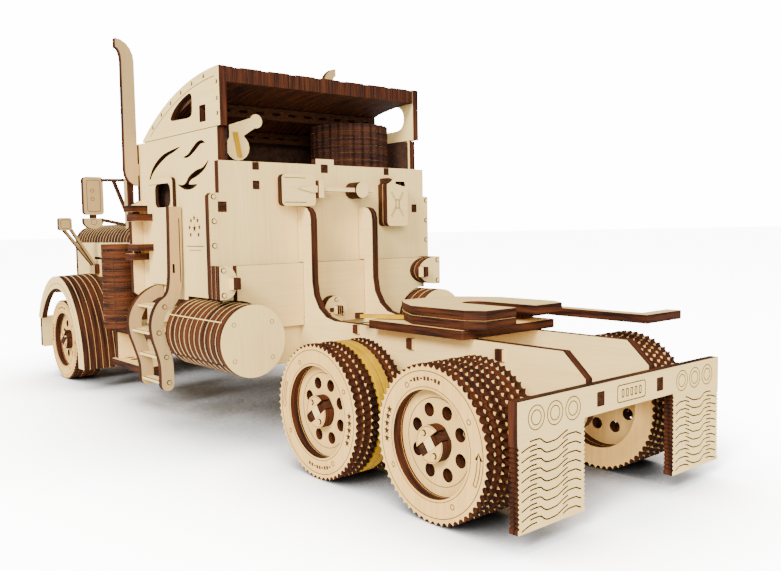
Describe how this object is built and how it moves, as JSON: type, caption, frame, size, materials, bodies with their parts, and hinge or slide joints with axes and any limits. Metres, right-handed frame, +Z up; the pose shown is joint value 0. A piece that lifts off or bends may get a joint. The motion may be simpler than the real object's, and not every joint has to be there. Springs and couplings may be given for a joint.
{
  "type": "wooden model truck",
  "caption": "Laser-cut plywood model of a long-nosed road tractor: raised sleeper roof, tandem driving wheels, upright exhausts, round tanks and a coupling deck.",
  "frame": {"origin": "on the ground under the middle of the overall box", "axes": "+Z up, the truck drives toward -Y, its own left side is +X"},
  "size_m": [0.1336, 0.368, 0.1643],
  "materials": {
    "plywood": "bare sanded birch plywood",
    "fine_plywood": "bare sanded birch plywood",
    "burnt_plywood": "laser-burnt plywood edge",
    "yellow_rubber": "smooth stretched rubber band"
  },
  "bodies": {
    "chassis": {"chassis_rail_left": "plywood", "chassis_rail_right": "plywood", "cross_member_front": "plywood", "cross_member_rear": "plywood", "deck_plate": "plywood", "tail_plate": "plywood", "coupling_base": "plywood", "coupling_plate": "plywood", "front_beam": "plywood", "front_bumper": "plywood", "fender_left": "plywood", "fender_right": "plywood", "cab_side_left": "plywood", "cab_side_right": "plywood", "cab_front_wall": "plywood", "cab_floor": "plywood", "back_panel": "plywood", "lower_back_panel": "plywood", "corner_bracket_left": "plywood", "corner_bracket_right": "plywood", "sleeper_shelf": "plywood", "roof_side_left": "plywood", "roof_side_right": "plywood", "roof_skin": "burnt_plywood", "exhaust_left": "fine_plywood", "exhaust_right": "fine_plywood", "air_cleaner_left": "burnt_plywood", "air_cleaner_right": "burnt_plywood", "door_mirror_left": "fine_plywood", "door_mirror_right": "fine_plywood", "step_frame_left": "fine_plywood", "step_frame_right": "fine_plywood", "fuel_tank_left": "plywood", "fuel_tank_right": "plywood", "side_box_left": "plywood", "side_box_right": "plywood", "shovel": "plywood", "jerry_can": "plywood"},
    "forward_axle_set": {"forward_axle": "burnt_plywood", "forward_wheel_left": "plywood", "forward_wheel_right": "plywood", "grip_ring_left": "yellow_rubber", "grip_ring_right": "yellow_rubber"},
    "rear_axle_set": {"rear_axle": "burnt_plywood", "rear_wheel_left": "plywood", "rear_wheel_right": "plywood"},
    "knuckle_left": {"steering_knuckle_left": "burnt_plywood"},
    "knuckle_right": {"steering_knuckle_right": "burnt_plywood"},
    "front_wheel_left_set": {"front_wheel_left": "plywood"},
    "front_wheel_right_set": {"front_wheel_right": "plywood"},
    "door_left_leaf": {"door_left": "plywood"},
    "door_right_leaf": {"door_right": "plywood"},
    "nose": {"hood": "plywood", "grille": "plywood", "fender_mirror_left": "fine_plywood", "fender_mirror_right": "fine_plywood"},
    "lever_outside": {"release_lever": "plywood"},
    "winder": {"winding_hub": "burnt_plywood"},
    "drum": {"drive_drum": "burnt_plywood"},
    "lever_inside": {"sleeper_lever": "plywood"}
  },
  "joints": [
    {"name": "forward_axle_spin", "type": "hinge", "parent": "chassis", "child": "forward_axle_set", "pos_m": [0, 0.0988, 0.0221], "axis": [1, 0, 0], "continuous": true},
    {"name": "rear_axle_spin", "type": "hinge", "parent": "chassis", "child": "rear_axle_set", "pos_m": [0, 0.1525, 0.0221], "axis": [1, 0, 0], "continuous": true},
    {"name": "steer_left", "type": "hinge", "parent": "chassis", "child": "knuckle_left", "pos_m": [0.0367, -0.149, 0.0221], "axis": [0, 0, 1], "range_deg": [-15, 15]},
    {"name": "steer_right", "type": "hinge", "parent": "chassis", "child": "knuckle_right", "pos_m": [-0.0367, -0.149, 0.0221], "axis": [0, 0, 1], "range_deg": [-15, 15]},
    {"name": "front_left_spin", "type": "hinge", "parent": "knuckle_left", "child": "front_wheel_left_set", "pos_m": [0.0455, -0.149, 0.0221], "axis": [1, 0, 0], "continuous": true},
    {"name": "front_right_spin", "type": "hinge", "parent": "knuckle_right", "child": "front_wheel_right_set", "pos_m": [-0.0455, -0.149, 0.0221], "axis": [1, 0, 0], "continuous": true},
    {"name": "door_left_hinge", "type": "hinge", "parent": "chassis", "child": "door_left_leaf", "pos_m": [0.054, -0.026, 0.08], "axis": [0, 0, -1], "range_deg": [0, 70]},
    {"name": "door_right_hinge", "type": "hinge", "parent": "chassis", "child": "door_right_leaf", "pos_m": [-0.054, -0.026, 0.08], "axis": [0, 0, 1], "range_deg": [0, 70]},
    {"name": "nose_tilt", "type": "hinge", "parent": "chassis", "child": "nose", "pos_m": [0, -0.1767, 0.0466], "axis": [1, 0, 0], "range_deg": [0, 50]},
    {"name": "release_lever_swing", "type": "hinge", "parent": "chassis", "child": "lever_outside", "pos_m": [-0.016, 0.129, 0.0512], "axis": [0, 0, 1], "range_deg": [0, 20]},
    {"name": "winder_spin", "type": "hinge", "parent": "chassis", "child": "winder", "pos_m": [0.004, 0.049, 0.0488], "axis": [0, 1, 0], "continuous": true},
    {"name": "drum_spin", "type": "hinge", "parent": "chassis", "child": "drum", "pos_m": [-0.0254, 0.0225, 0.1165], "axis": [0, 0, 1], "continuous": true},
    {"name": "sleeper_lever_tilt", "type": "hinge", "parent": "chassis", "child": "lever_inside", "pos_m": [0.0388, 0.0355, 0.1128], "axis": [0, -1, 0], "range_deg": [0, 30]}
  ],
  "couplings": [
    {"joint": "steer_right", "follows": "steer_left", "ratio": 1}
  ]
}
